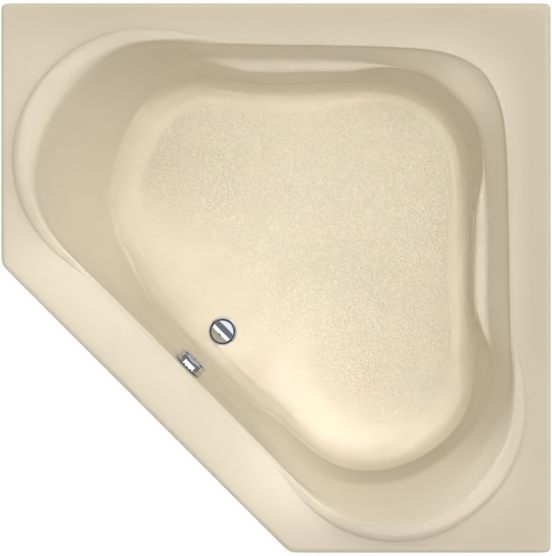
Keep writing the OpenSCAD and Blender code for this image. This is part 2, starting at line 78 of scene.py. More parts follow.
# Outlines as [angle, length in mm]: 0 is the middle of the cut front, 180 the room corner
MOUTH = [[40, 478], [53, 592], [59, 656], [65, 703], [72, 735], [82, 760],
         [95, 769], [103, 755], [111, 715], [119, 674], [127, 652], [133, 645], [139, 645], [145, 653],
         [151, 667], [157, 690], [163, 721], [168, 753], [172, 779], [176, 798], [180, 805]]
FOOT = [[0, 20], [45, 20], [52, 46], [64, 66], [77, 91], [91, 83],
        [100, 63], [106, 51], [112, 38], [119, 21], [180, 20]]
CREST = [[0, 5], [45, 6], [52, 12], [60, 20], [68, 25], [75, 34], [83, 41], [90, 36],
         [96, 25], [101, 14], [106, 7], [111, 6], [115, 11], [119, 17], [120, 5], [180, 5]]
RISE = [[0, 0], [45, 0], [60, 0.7], [82, 1], [100, 0.9], [112, 0.55],
        [118, 0.2], [119, 0], [180, 0]]
CREASE = [[0, 10], [40, 14], [46, 28], [53, 56], [65, 84], [76, 77], [85, 73], [95, 66], [103, 52],
          [109, 38], [116, 34], [121, 35], [128, 37], [145, 35], [155, 38], [163, 46], [170, 56], [180, 80]]
LEDGE = [[0, 1], [112, 2], [118, 10], [123, 28], [129, 35], [150, 32],
         [156, 26], [162, 6], [168, 3], [180, 3]]
FLOOR = [[40, 345], [52, 398], [60, 452], [70, 512], [79, 550], [90, 582],
         [100, 600], [110, 590], [117, 568], [125, 540], [135, 525], [145, 535],
         [155, 565], [165, 608], [172, 636], [180, 648]]
# What the side towards the bottom of the view adds, and the other side takes off
LEDGE_SIDE = [[0, 0], [112, 0], [120, 8], [128, 10], [145, 10], [158, 8], [166, 5], [176, 0], [180, 0]]
FLOOR_SIDE = [[0, 0], [44, 0], [55, 26], [64, 38], [74, 43], [84, 40], [94, 28], [104, 14], [112, 2],
              [120, -6], [135, -10], [150, -6], [165, 0], [180, 0]]


def curve(points, a):
    """Smooth curve through [angle, value] points."""
    i = 0
    while i < len(points) - 2 and a >= points[i + 1][0]:
        i += 1

    def slope(k):
        if k == 0 or k == len(points) - 1:
            return 0
        return (points[k + 1][1] - points[k - 1][1]) / (points[k + 1][0] - points[k - 1][0])
    (a0, v0), (a1, v1) = points[i], points[i + 1]
    w = a1 - a0
    f = min(max((a - a0) / w, 0), 1)
    g = 1 - f
    return (g * g * (1 + 2 * f) * v0 + f * f * (3 - 2 * f) * v1
            + w * f * g * (g * slope(i) - f * slope(i + 1)))


def mm(points, a):
    return curve(points, a) / 1000


def side(d, facing, a):
    c = math.cos(math.radians(a - facing))
    return d / c if c > 0.05 else 20 * d


def deck(a, inset):
    """Radius of the deck's outline, with softly rounded corners."""
    power = 128
    sides = ((FRONT_S, 0), (HALF, 45), (HALF, 135), (HALF, -135))
    return HALF * sum((side(d - inset, facing, abs(a)) / HALF) ** -power
                      for d, facing in sides) ** (-1 / power)


def smoothstep(low, high, x):
    f = min(max((x - low) / (high - low), 0), 1)
    return f * f * (3 - 2 * f)


def mouth(a):
    return min(mm(MOUTH, abs(a)), side(MOUTH_FRONT, 0, a))


def basin_floor(a):
    wide = mm(FLOOR, abs(a)) + math.copysign(mm(FLOOR_SIDE, abs(a)), a)
    return min(wide, side(FLOOR_FRONT, 0, a))


def blend(f, p, q):
    """Point that lies the share f of the way from p to q."""
    return [(1 - f) * u + f * v for u, v in zip(p, q)]


def section(a):
    """The moulding's cut at angle a, from the lip's bottom to the floor, as (radius, height)."""
    b = abs(a)
    m = mouth(a)
    foot = m + mm(FOOT, b)
    crest = m + mm(CREST, b)
    w = foot - crest
    h = CREST_H * curve(RISE, b)
    flat = basin_floor(a)
    z = DECK_Z
    lobe = smoothstep(50, 66, b) * (1 - smoothstep(90, 114, b))
    # The lobe towards the bottom of the view has a straight backrest, which starts in the roll
    straight = lobe if a > 0 else 0
    roll = []
    for turn, inset, drop in ((0.30, 0.006, 0.0015), (0.65, 0.014, 0.0075),
                              (1.00, 0.024, 0.0190), (1.30, 0.038, 0.0370)):
        turn *= 1 - 0.08 * lobe
        rounded = (crest - (crest - m) * math.sin(turn),
                   z - MOUTH_DROP + (h + MOUTH_DROP) * math.cos(turn))
        roll.append(blend(straight, rounded, (crest - inset, z + h - drop)))
    under_roll = (m - 0.002 - 0.004 * lobe, z - 0.026 + 0.004 * lobe)
    top = blend(straight, under_roll, (crest - 0.052, z + h - 0.056))
    wide = 0.040 + 0.025 * lobe
    cove = (flat + wide, FLOOR_Z + 0.046 - 0.008 * lobe)
    shelf = smoothstep(111, 120, b)
    back = m - mm(CREASE, b) - math.copysign(mm(LEDGE_SIDE, b), a)
    lip = back - mm(LEDGE, b)
    ledge_z = z - LEDGE_DEPTH
    ledged = [((m + back) / 2, z - (LEDGE_DEPTH + MOUTH_DROP) / 2 + 0.010), (back + 0.004, ledge_z + 0.022),
              (back, ledge_z + 0.006), (back - 0.20 * (back - lip), ledge_z + 0.0005),
              (back - 0.45 * (back - lip), ledge_z - 0.0012), (lip + 0.14 * (back - lip), ledge_z - 0.0038),
              (lip - 0.0005, ledge_z - 0.0085), (lip - 0.002, ledge_z - 0.026),
              ((lip + cove[0]) / 2 - 0.002, (ledge_z - 0.034 + cove[1]) / 2)]
    # The other lobe's wall bows evenly from the rim to the cove
    lean = smoothstep(40, 62, -a)
    bend = (back - 0.001 + lean * (m - 0.30 * (m - cove[0]) - back), ledge_z - 0.037 * lean)
    ease = 0.45 + 0.35 * lean
    plain = []
    for i in range(9):
        f = (i + 1) / 10
        soft = blend(f, blend(f, top, bend), blend(f, bend, cove))
        sharp = blend(2 * f, top, bend) if f < 0.5 else blend(2 * f - 1, bend, cove)
        plain.append(blend(ease, sharp, soft))
    wall = [blend(shelf, low, high) for low, high in zip(plain, ledged)]
    return [
        (deck(a, 0), z - LIP_H), (deck(a, 0), z - LIP_H + 0.003), (deck(a, 0), z - LIP_ROLL - 0.003),
        (deck(a, 0.2 * LIP_ROLL), z - 0.35 * LIP_ROLL), (deck(a, 0.9 * LIP_ROLL), z - 0.0003),
        (deck(a, LIP_ROLL + 0.006), z), (foot + 0.010, z), (foot + 0.0012, z),
        (foot - 0.0010, z + 0.04 * h), (foot - 0.13 * w, z + 0.45 * h), (foot - 0.27 * w, z + 0.84 * h),
        (foot - 0.44 * w, z + 0.94 * h), (crest + 0.0030, z + 0.992 * h), (crest, z + h), *roll, top, *wall,
        cove, (flat + 0.65 * wide, FLOOR_Z + 0.022 - 0.006 * lobe),
        (flat + 0.004 + 0.016 * lobe, FLOOR_Z + 0.0022 + 0.0006 * lobe), (flat + 0.0004, FLOOR_Z + 0.0003),
        (flat - 0.004, FLOOR_Z), (0.93 * flat, FLOOR_Z), (0.82 * flat, FLOOR_Z), (0.68 * flat, FLOOR_Z),
        (0.52 * flat, FLOOR_Z), (0.34 * flat, FLOOR_Z), (0.15 * flat, FLOOR_Z)]


def offset(points, k, d):
    """Point k of a cut, moved d to the moulding's hidden side."""
    (r0, z0), (r1, z1) = points[max(k - 1, 0)], points[min(k + 1, len(points) - 1)]
    run = math.hypot(r1 - r0, z1 - z0)
    return points[k][0] + d * (z1 - z0) / run * -1, points[k][1] + d * (r1 - r0) / run


# Directions of the cuts, closer together by the deck's corners
NEAR = [-1, -0.4, 0, 0.4, 1]


def spread(a0, a1, n):
    return [a0 + (a1 - a0) * i / n for i in range(1, n)]


HALF_DIRS = sorted({0, *spread(0, CORNER_A - 1, 9), *(CORNER_A + d for d in NEAR),
                    *spread(CORNER_A + 1, 89, 15), *(90 + d for d in NEAR), *spread(91, 111, 8),
                    *spread(110, 122, 9), *spread(122, 179, 19), 179, 179.6, 180})
DIRS = HALF_DIRS + [-a for a in HALF_DIRS[-2:0:-1]]

# Places: s runs from the basin's centre to the cut front, w across


def spot(s, w=0.0, z=0.0):
    return (Matrix.Translation((HALF, HALF, 0)) @ Matrix.Rotation(math.radians(225), 4, "Z")
            @ Matrix.Translation((CENTRE_S + s, w, z)))


WALL_TILT = math.atan2(0.010, LEDGE_DEPTH - MOUTH_DROP)
OVERFLOW_DEPTH = 0.074
OVERFLOW_S = MOUTH_FRONT - (OVERFLOW_DEPTH - MOUTH_DROP) * math.tan(WALL_TILT)


def on_wall(z=0.0):
    """Overflow frame: on the front wall, +Z into the basin."""
    return (spot(OVERFLOW_S, 0, DECK_Z - OVERFLOW_DEPTH)
            @ Matrix.Rotation(WALL_TILT - math.pi / 2, 4, "Y") @ Matrix.Translation((0, 0, z)))


# Making pieces

def finish_piece(bm, name, body, material, nodes=(), sharp=35):
    """Puts a mesh in the scene, smooth but for edges that turn by more than the sharp angle."""
    mesh = bpy.data.meshes.new(name)
    bm.to_mesh(mesh)
    bm.free()
    mesh.set_sharp_from_angle(angle=math.radians(sharp))
    piece = bpy.data.objects.new(name, mesh)
    bpy.context.scene.collection.objects.link(piece)
    mesh.materials.append(material)
    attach(piece, body)
    if nodes:
        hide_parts(*nodes)
    return piece


def linked(verts, kind):
    """The edges or faces at some vertices, each once."""
    return list(dict.fromkeys(item for v in verts for item in getattr(v, kind)))


def skin(bm, rings, place=None):
    """Skin through rings of points. A ring shrunk to a point closes it, and so does a last ring
    that lies on the first."""
    loop = bmesh.ops.create_circle(bm, segments=len(rings[0]), radius=1)["verts"]
    edges = linked(loop, "link_edges")
    fresh = list(loop)
    for k, ring in enumerate(rings):
        if k:
            made = bmesh.ops.extrude_edge_only(bm, edges=edges)["geom"]
            new = {g for g in made if isinstance(g, bmesh.types.BMVert)}
            edges = [g for g in made
                     if isinstance(g, bmesh.types.BMEdge) and all(v in new for v in g.verts)]
            loop = [next(e.other_vert(v) for e in v.link_edges if e.other_vert(v) in new) for v in loop]
            fresh += loop
        for v, point in zip(loop, ring):
            v.co = point
    bmesh.ops.remove_doubles(bm, verts=fresh, dist=1e-6)
    fresh = [v for v in fresh if v.is_valid]
    bmesh.ops.recalc_face_normals(bm, faces=linked(fresh, "link_faces"))
    if place is not None:
        bmesh.ops.transform(bm, matrix=place, verts=fresh)


def around(r, z, n=64, ribs=0, depth=0.0):
    """Ring about Z, with rounded grooves between its ribs."""
    turns = [math.tau * i / n for i in range(n)]
    cuts = [depth * (0.5 - 0.5 * math.cos(ribs * t)) ** 3 for t in turns]
    return [((r - c) * math.cos(t), (r - c) * math.sin(t), z) for t, c in zip(turns, cuts)]


def lathe(bm, profile, n=64, place=None):
    """Solid turned from (radius, height) points about Z."""
    skin(bm, [around(r, z, n) for r, z in profile], place)


def ring_profile(r_in, r_out, z0, z1, edge=0.0006):
    """Cut of a ring with eased edges."""
    return [(r_in, z0 + edge), (r_in + edge, z0), (r_out - edge, z0), (r_out, z0 + edge),
            (r_out, z1 - edge), (r_out - edge, z1), (r_in + edge, z1), (r_in, z1 - edge),
            (r_in, z0 + edge)]


def slab(bm, corners, z0, z1, edge=0.001, place=None):
    """Upright block on four corners, with bevelled edges."""
    made = bmesh.ops.create_cube(bm, size=1)["verts"]
    for v in made:
        v.co = (*corners[(v.co.x > 0) + 2 * (v.co.y > 0)], z1 if v.co.z > 0 else z0)
    bmesh.ops.recalc_face_normals(bm, faces=linked(made, "link_faces"))
    made = bmesh.ops.bevel(bm, geom=linked(made, "link_edges"), offset=edge, segments=2,
                           profile=0.5, affect="EDGES", material=-1)["verts"]
    if place is not None:
        bmesh.ops.transform(bm, matrix=place, verts=made)


def block(bm, low, high, edge=0.001, place=None):
    """Bevelled box between two corners."""
    slab(bm, [(low[0], low[1]), (high[0], low[1]), (low[0], high[1]), (high[0], high[1])],
         low[2], high[2], edge, place)


# Shader sockets as values

class Value:
    """A shader socket that takes part in Python arithmetic."""

    def __init__(self, tree, socket):
        self.tree, self.socket = tree, socket

    def maths(self, operation, *others):
        return self.tree.node("ShaderNodeMath", {"operation": operation},
                              dict(enumerate((self,) + others)))

    def __add__(self, other):
        return self.maths("ADD", other)

    def __sub__(self, other):
        return self.maths("SUBTRACT", other)

    def __rsub__(self, other):
        return self.tree.node("ShaderNodeMath", {"operation": "SUBTRACT"}, {0: other, 1: self})

    def __mul__(self, other):
        return self.maths("MULTIPLY", other)

    __radd__ = __add__
    __rmul__ = __mul__


class Finish:
    """A material under construction."""

    def __init__(self, name, **constants):
        self.material = bpy.data.materials.new(name)
        self.material.use_nodes = True
        self.nodes = self.material.node_tree.nodes
        self.links = self.material.node_tree.links
        self.shader = self.nodes["Principled BSDF"]
        for socket, value in constants.items():
            self.shader.inputs[socket.replace("_", " ")].default_value = value

    def node(self, kind, settings=None, inputs=None, output=0):
        made = self.nodes.new(kind)
        for key, value in (settings or {}).items():
            if key == "stops":
                ramp = made.color_ramp
                while len(ramp.elements) < len(value):
                    ramp.elements.new(0.5)
                for element, (position, colour) in zip(ramp.elements, value):
                    element.position = position
                    element.color = (*colour, 1)
            else:
                setattr(made, key, value)
        for key, value in (inputs or {}).items():
            self.feed(made.inputs[key], value)
        return Value(self, made.outputs[output])

    def feed(self, socket, value):
        if isinstance(value, Value):
            self.links.new(value.socket, socket)
        elif isinstance(value, tuple) and len(value) == 3 and socket.type == "RGBA":
            socket.default_value = (*value, 1)
        else:
            socket.default_value = value

    def place(self, stretch=(1, 1, 1), turn=0.0):
        where = self.node("ShaderNodeTexCoord", output="Object")
        if stretch == (1, 1, 1) and not turn:
            return where
        return self.node("ShaderNodeMapping", {}, {"Vector": where, "Scale": stretch,
                                                   "Rotation": (0, 0, math.radians(turn))})

    def noise(self, where, scale, detail=3.0, roughness=0.5):
        return self.node("ShaderNodeTexNoise", {}, {"Vector": where, "Scale": scale,
                                                    "Detail": detail, "Roughness": roughness})

    def ramp(self, value, *stops):
        return self.node("ShaderNodeValToRGB", {"stops": stops}, {"Fac": value})

    def fit(self, value, low, high, to_low, to_high):
        return self.node("ShaderNodeMapRange", {"clamp": True},
                         {"Value": value, "From Min": low, "From Max": high,
                          "To Min": to_low, "To Max": to_high})

    def mix(self, factor, a, b, blend="MIX"):
        made = self.nodes.new("ShaderNodeMix")
        made.data_type = "RGBA"
        made.blend_type = blend
        for key, value in ((0, factor), (6, a), (7, b)):
            self.feed(made.inputs[key], value)
        return Value(self, made.outputs[2])

    def bump(self, height, strength, distance, onto=None):
        inputs = {"Height": height, "Strength": strength, "Distance": distance}
        if onto is not None:
            inputs["Normal"] = onto
        return self.node("ShaderNodeBump", {}, inputs)

    def set(self, **values):
        for socket, value in values.items():
            self.feed(self.shader.inputs[socket.replace("_", " ")], value)
        return self.material


def acrylic():
    f = Finish("bone_acrylic", IOR=1.49)
    where = f.place()
    pebble = f.node("ShaderNodeAttribute", {"attribute_name": "pebble"}, output="Fac")
    clouds = f.noise(where, 2.2, 2)
    colour = f.mix(f.fit(clouds, 0.35, 0.65, 0, 1), (0.735, 0.655, 0.500), (0.765, 0.682, 0.524))
    grain = f.node("ShaderNodeTexVoronoi", {"feature": "SMOOTH_F1"},
                   {"Vector": where, "Scale": 150.0, "Smoothness": 0.7}, output="Distance")
    crumple = f.noise(where, 135.0, 2, 0.6)
    ripple = f.noise(where, 30.0, 2)
    pebbles = f.fit(crumple - 0.3 * grain, 0.1, 0.6, 0, 1) * pebble
    # The raised pebbles are painted lighter than the acrylic around them: a painted highlight on the grains
    colour = f.mix(f.fit(pebbles, 0.40, 0.80, 0, 1), colour, (0.82, 0.742, 0.585))
    relief = f.bump(ripple, 0.02, 0.001)
    relief = f.bump(pebbles, 1.0, 0.0065, relief)
    rough = f.fit(pebble, 0, 1, 0.07, 0.12)
    return f.set(Base_Color=colour, Roughness=rough, Normal=relief)


def fibreglass():
    f = Finish("glass_fibre_backing", IOR=1.5)
    where = f.place()
    strands = f.noise(f.place((1, 9, 1), 20), 26.0, 5, 0.65)
    crossed = f.noise(f.place((9, 1, 1), -35), 24.0, 5, 0.65)
    lumps = f.noise(where, 9.0, 4)
    mixed = 0.5 * strands + 0.5 * crossed
    colour = f.mix(f.fit(mixed, 0.38, 0.62, 0, 1), (0.42, 0.38, 0.24), (0.62, 0.58, 0.42))
    colour = f.mix(f.fit(lumps, 0.4, 0.7, 0, 0.5), colour, (0.72, 0.68, 0.54))
    relief = f.bump(mixed + 0.8 * lumps, 0.6, 0.003)
    return f.set(Base_Color=colour, Roughness=f.fit(strands, 0.3, 0.7, 0.35, 0.62), Normal=relief)


def plywood():
    f = Finish("plywood_board", IOR=1.45)
    grain = f.noise(f.place((1, 14, 1), 45), 7.0, 6, 0.6)
    where = f.place()
    height = f.node("ShaderNodeSeparateXYZ", {}, {"Vector": where}, output="Z")
    plies = f.node("ShaderNodeMath", {"operation": "PINGPONG"}, {0: height, 1: 0.0023}) * 434.0
    normal = f.node("ShaderNodeNewGeometry", output="Normal")
    upright = f.node("ShaderNodeSeparateXYZ", {}, {"Vector": normal}, output="Z")
    edge = f.fit(f.node("ShaderNodeMath", {"operation": "ABSOLUTE"}, {0: upright}), 0.3, 0.7, 1, 0)
    face = f.ramp(grain, (0.25, (0.40, 0.25, 0.12)), (0.5, (0.60, 0.42, 0.23)), (0.8, (0.70, 0.53, 0.32)))
    layers = f.ramp(plies, (0.2, (0.30, 0.18, 0.09)), (0.6, (0.62, 0.45, 0.26)))
    return f.set(Base_Color=f.mix(edge, face, layers), Roughness=f.fit(grain, 0.2, 0.8, 0.55, 0.75),
                 Normal=f.bump(grain, 0.35, 0.0008))


def softwood(turn):
    f = Finish(f"softwood_along_{round(turn)}", IOR=1.45)
    where = f.place((1, 16, 16), turn)
    bend = f.noise(where, 1.6, 3)
    rings = f.node("ShaderNodeTexWave", {"wave_type": "BANDS", "bands_direction": "Y"},
                   {"Vector": where, "Scale": 3.0, "Distortion": 6.0, "Detail": 3.0})
    fibres = f.noise(f.place((2, 90, 90), turn), 8.0, 4)
    tone = 0.6 * rings + 0.4 * bend
    colour = f.ramp(tone, (0.1, (0.45, 0.28, 0.13)), (0.5, (0.66, 0.47, 0.26)), (0.9, (0.76, 0.60, 0.38)))
    colour = f.mix(f.fit(fibres, 0.4, 0.7, 0, 0.35), colour, (0.38, 0.23, 0.11))
    return f.set(Base_Color=colour, Roughness=f.fit(fibres, 0.3, 0.7, 0.5, 0.7),
                 Normal=f.bump(fibres, 0.3, 0.0006))


def powder_coat():
    f = Finish("grey_powder_coat", IOR=1.5)
    where = f.place()
    speck = f.noise(where, 420.0, 2)
    tone = f.noise(where, 5.0, 3)
    colour = f.mix(f.fit(tone, 0.35, 0.65, 0, 1), (0.115, 0.120, 0.128), (0.150, 0.155, 0.165))
    return f.set(Base_Color=colour, Roughness=f.fit(speck, 0.3, 0.7, 0.38, 0.52),
                 Normal=f.bump(speck, 0.3, 0.0004))


def zinc():
    f = Finish("zinc_plate", IOR=1.5)
    where = f.place()
    bloom = f.noise(where, 90.0, 4)
    colour = f.ramp(bloom, (0.3, (0.50, 0.49, 0.43)), (0.5, (0.62, 0.61, 0.56)), (0.7, (0.68, 0.66, 0.55)))
    return f.set(Base_Color=colour, Metallic=f.fit(bloom, 0.2, 0.8, 0.92, 1.0),
                 Roughness=f.fit(bloom, 0.3, 0.7, 0.24, 0.42), Normal=f.bump(bloom, 0.1, 0.0003))


def rubber():
    f = Finish("black_rubber", IOR=1.5)
    where = f.place()
    dust = f.noise(where, 60.0, 4)
    pores = f.noise(where, 900.0, 2)
    colour = f.mix(f.fit(dust, 0.45, 0.75, 0, 1), (0.022, 0.022, 0.023), (0.050, 0.048, 0.046))
    return f.set(Base_Color=colour, Roughness=f.fit(dust, 0.3, 0.7, 0.62, 0.8),
                 Normal=f.bump(pores, 0.3, 0.0003))


def chrome():
    f = Finish("polished_chrome")
    where = f.place()
    haze = f.noise(where, 140.0, 4)
    wipe = f.noise(f.place((1, 40, 1), 45), 30.0, 3)
    colour = f.mix(f.fit(haze, 0.4, 0.7, 0, 1), (0.74, 0.775, 0.85), (0.69, 0.72, 0.79))
    return f.set(Base_Color=colour, Metallic=f.fit(haze, 0, 1, 0.99, 1.0),
                 Roughness=f.fit(0.6 * haze + 0.4 * wipe, 0.35, 0.65, 0.03, 0.085))


def recess():
    # Dark metal for the groove between stopper cap and flange: painted shade where the groove lies in
    # shadow, mottled at random
    f = Finish("shadowed_recess", Metallic=1.0)
    groove_shade_mottle = f.noise(f.place(), 160.0, 4)
    colour = f.mix(f.fit(groove_shade_mottle, 0.35, 0.65, 0, 1), (0.030, 0.031, 0.036), (0.075, 0.074, 0.080))
    return f.set(Base_Color=colour, Roughness=f.fit(groove_shade_mottle, 0.3, 0.7, 0.22, 0.38))


def plated_tube():
    f = Finish("plated_tube")
    where = f.place()
    haze = f.noise(where, 50.0, 4)
    drawn = f.noise(f.place((60, 60, 1)), 20.0, 3)
    colour = f.mix(f.fit(haze, 0.4, 0.7, 0, 1), (0.60, 0.60, 0.59), (0.68, 0.68, 0.67))
    return f.set(Base_Color=colour, Metallic=f.fit(haze, 0, 1, 0.97, 1.0),
                 Roughness=f.fit(drawn, 0.3, 0.7, 0.16, 0.30))


def black_plastic():
    f = Finish("black_moulded_plastic", IOR=1.5)
    where = f.place()
    grain = f.noise(where, 700.0, 2)
    tone = f.noise(where, 20.0, 3)
    colour = f.mix(f.fit(tone, 0.4, 0.6, 0, 1), (0.018, 0.018, 0.020), (0.028, 0.028, 0.030))
    return f.set(Base_Color=colour, Roughness=f.fit(tone, 0.3, 0.7, 0.36, 0.48),
                 Normal=f.bump(grain, 0.25, 0.0003))


ACRYLIC = acrylic()
FIBREGLASS = fibreglass()
PLYWOOD = plywood()
POWDER = powder_coat()
ZINC = zinc()
RUBBER = rubber()
CHROME = chrome()
GROOVE_SHADE = recess()
TUBE_FINISH = plated_tube()
PLASTIC = black_plastic()


# Bath shell and its backing

def moulding(points_at):
    """Rings for every direction, closed at both ends on the basin's middle line."""
    cuts = [points_at(a) for a in DIRS]
    rays = [(math.cos(math.radians(a)), math.sin(math.radians(a))) for a in DIRS]
    return [[(cut[k][0] * c, cut[k][0] * s, cut[k][1]) for cut, (c, s) in zip(cuts, rays)]
            for k in range(len(cuts[0]))]


def shell_cut(a):
    top = section(a)
    hidden = [offset(top, k, SKIN) for k in (37, 33, 31, 29, 27, 25, 23, 21, 19, 17, 15, 13, 11, 9, 7, 6)]
    lip_in = [(deck(a, LIP_ROLL), DECK_Z - SKIN), (deck(a, SKIN), DECK_Z - SKIN - 0.008),
              (deck(a, SKIN), DECK_Z - LIP_H + 0.003), (deck(a, SKIN), DECK_Z - LIP_H)]
    return [(0, FLOOR_Z - SKIN)] + hidden + lip_in + top + [(0, FLOOR_Z)]


def backing_cut(a):
    top = section(a)
    near = SKIN + BOND
    far = near + BACKING
    edge = deck(a, LIP_ROLL + 0.004)
    return ([(0, FLOOR_Z - near)] + [offset(top, k, near) for k in range(38, 5, -1)]
            + [(edge, DECK_Z - near), (edge, DECK_Z - near - 0.001), (edge, DECK_Z - far)]
            + [offset(top, k, far) for k in range(6, 39)] + [(0, FLOOR_Z - far)])


def pierced(bm, name, material, node, levels):
    """Subdivides a moulding and cuts its drain and overflow holes."""
    piece = finish_piece(bm, name, "tub", material, [node], 180)
    smooth = piece.modifiers.new("smooth", "SUBSURF")
    smooth.levels = smooth.render_levels = levels
    tools = []
    for label, place in (("drain_cut", spot(DRAIN_S, 0, FLOOR_Z)), ("overflow_cut", on_wall())):
        hole = bmesh.new()
        lathe(hole, [(0, -0.04), (0.025, -0.04), (0.025, 0.04), (0, 0.04)], 64, place)
        mesh = bpy.data.meshes.new(label)
        hole.to_mesh(mesh)
        hole.free()
        tools.append(bpy.data.objects.new(label, mesh))
        bpy.context.scene.collection.objects.link(tools[-1])
        cut = piece.modifiers.new(label, "BOOLEAN")
        cut.operation = "DIFFERENCE"
        cut.solver = "EXACT"
        cut.object = tools[-1]
    graph = bpy.context.evaluated_depsgraph_get()
    mesh = bpy.data.meshes.new_from_object(piece.evaluated_get(graph))
    piece.modifiers.clear()
    piece.data = mesh
    for tool in tools:
        bpy.data.objects.remove(tool)
    return piece


def step(p):
    """How far a place on the floor lies outside its lobe's round seat, from 0 on the seat to 1."""
    return (smoothstep(0.178, 0.238, math.hypot(p.x + 0.060, abs(p.y) - 0.385))
            * smoothstep(0.10, 0.26, abs(p.y)) * smoothstep(-0.20, -0.06, p.x))


def shape_floor(mesh):
    """Raises the floor beside the round seats, and stores how strongly each point of it is pebbled."""
    layer = mesh.attributes.new("pebble", "FLOAT", "POINT")
    back = spot(0).inverted()
    for v, item in zip(mesh.vertices, layer.data):
        p = back @ v.co
        a = math.degrees(math.atan2(p.y, p.x))
        r = math.hypot(p.x, p.y)
        flat = basin_floor(a)
        low = 1 - smoothstep(0.002, 0.006, v.co.z - FLOOR_Z)
        edge = 0.030 - 0.020 * smoothstep(150, 165, abs(a))
        inside = 1 - smoothstep(-0.006, 0.006, r - (flat - edge))
        front = 1 - smoothstep(-0.05, 0.22, p.x)
        item.value = inside * low * (1 - step(p)) * (0.3 + 0.7 * front)
        if r < flat + 0.06 and v.co.z < FLOOR_Z + 0.06:
            v.co.z += STEP_H * step(p) * smoothstep(-0.004, 0, v.co.z - FLOOR_Z)


def bath():
    bm = bmesh.new()
    skin(bm, moulding(shell_cut), spot(0))
    shell = pierced(bm, "bath_shell", ACRYLIC, "tub_shell", 2)
    shape_floor(shell.data)
    bm = bmesh.new()
    skin(bm, moulding(backing_cut), spot(0))
    pierced(bm, "fibreglass_backing", FIBREGLASS, "shell_backing", 1)


# Rim rails, cradle and feet

def rim_corner(i, d):
    k = d * (math.sqrt(2) - 1)
    return [(HALF - d, HALF - d), (d - HALF, HALF - d), (d - HALF, HALF - RETURN + k),
            (HALF - RETURN + k, d - HALF), (HALF - d, d - HALF)][i % 5]


def rim_rails():
    sides = ("wall_back", "return_left", "front", "return_bottom", "wall_right")
    woods = {0: softwood(0), 90: softwood(90), -45: softwood(-45)}
    for i, (name, turn) in enumerate(zip(sides, (0, 90, -45, 0, 90))):
        bm = bmesh.new()
        slab(bm, [rim_corner(i + k, RIM_IN + d * RIM_W) for d in (0, 1) for k in (0, 1)],
             RIM_TOP - RIM_H, RIM_TOP, 0.0015)
        finish_piece(bm, "timber_" + name, "tub", woods[turn], ["rim_rail_" + name])


def square(half, radius, x):
    """Rounded square about X."""
    points = []
    for q, (cy, cz) in enumerate(((1, 1), (-1, 1), (-1, -1), (1, -1))):
        for i in range(5):
            t = math.pi / 2 * (q + i / 4)
            points.append((x, cy * (half - radius) + radius * math.cos(t),
                           cz * (half - radius) + radius * math.sin(t)))
    return points


def weld_bead(bm, s, w):
    """Lumpy fillet of weld up a joint."""
    lumps = 18
    skin(bm, [around(0 if k in (0, lumps) else 0.0021 + 0.0004 * math.sin(2.1 * k), k * 0.023 / lumps, 12)
              for k in range(lumps + 1)], spot(s, w, RAIL_Z + 0.001))


def cradle():
    mid, wall = RAIL_Z + TUBE / 2, 0.002
    across = Matrix.Rotation(math.pi / 2, 4, "Z")
    beads = {"front": [], "left": [(0.1055, -0.2775), (0.1055, -0.3025)],
             "right": [(0.1055, 0.2775), (0.1055, 0.3025)],
             "rear": [(s, w) for s in (-0.3875, -0.4125) for w in (-0.2775, 0.2775)],
             "nose": [(-0.4125, -0.0125), (-0.4125, 0.0125)]}
    rails = {"front": (spot(0.118, -0.455, mid) @ across, 0.910),
             "left": (spot(-0.450, -0.290, mid), 0.5555),
             "right": (spot(-0.450, 0.290, mid), 0.5555),
             "rear": (spot(-0.400, -0.2775, mid) @ across, 0.555),
             "nose": (spot(-0.625, 0, mid), 0.2125)}
    for name, (place, length) in rails.items():
        bm = bmesh.new()
        h, r, e = TUBE / 2, 0.003, 0.0004
        outer = [(h - e, r - e, 0), (h, r, e), (h, r, length - e), (h - e, r - e, length)]
        inner = [(h - wall, r - wall, length), (h - wall, r - wall, 0)]
        skin(bm, [square(*cut) for cut in outer + inner + outer[:1]], place)
        for s, w in beads[name]:
            weld_bead(bm, s, w)
        finish_piece(bm, "steel_rail_" + name, "tub", POWDER, [f"cradle_{name}_rail"])


FEET = {"front_left": (0.118, -0.430), "front_right": (0.118, 0.430), "rear_left": (-0.425, -0.290),
        "rear_right": (-0.425, 0.290), "nose": (-0.600, 0)}
SCREWS = [(0.118, -0.18), (0.118, 0.18), (0.118, -0.36), (0.118, 0.36), (-0.12, -0.29), (-0.12, 0.29),
          (-0.34, -0.29), (-0.34, 0.29), (-0.40, -0.14), (-0.40, 0.14), (-0.50, 0)]


def fasteners():
    bm = bmesh.new()
    for s, w in SCREWS:
        place = spot(s, w, RAIL_Z)
        lathe(bm, [(0, -0.004), (0.0036, -0.004), (0.0044, -0.0035), (0.0044, -0.0012), (0, -0.0012)],
              6, place)
        lathe(bm, [(0, -0.0012), (0.0048, -0.0012), (0.005, -0.0009), (0.005, 0), (0.0025, 0),
                   (0.0025, 0.036), (0, 0.037)], 32, place)
    finish_piece(bm, "hex_screws", "tub", ZINC, ["cradle_screws"], 25)
    bm = bmesh.new()
    for s, w in FEET.values():
        lathe(bm, [(0.0062, -0.008), (0.0098, -0.008), (0.0111, -0.0069), (0.0111, -0.0011),
                   (0.0098, 0), (0.0062, 0), (0.0062, -0.008)], 6, spot(s, w, RAIL_Z))
    finish_piece(bm, "hex_lock_nuts", "tub", ZINC, ["foot_lock_nuts"], 25)


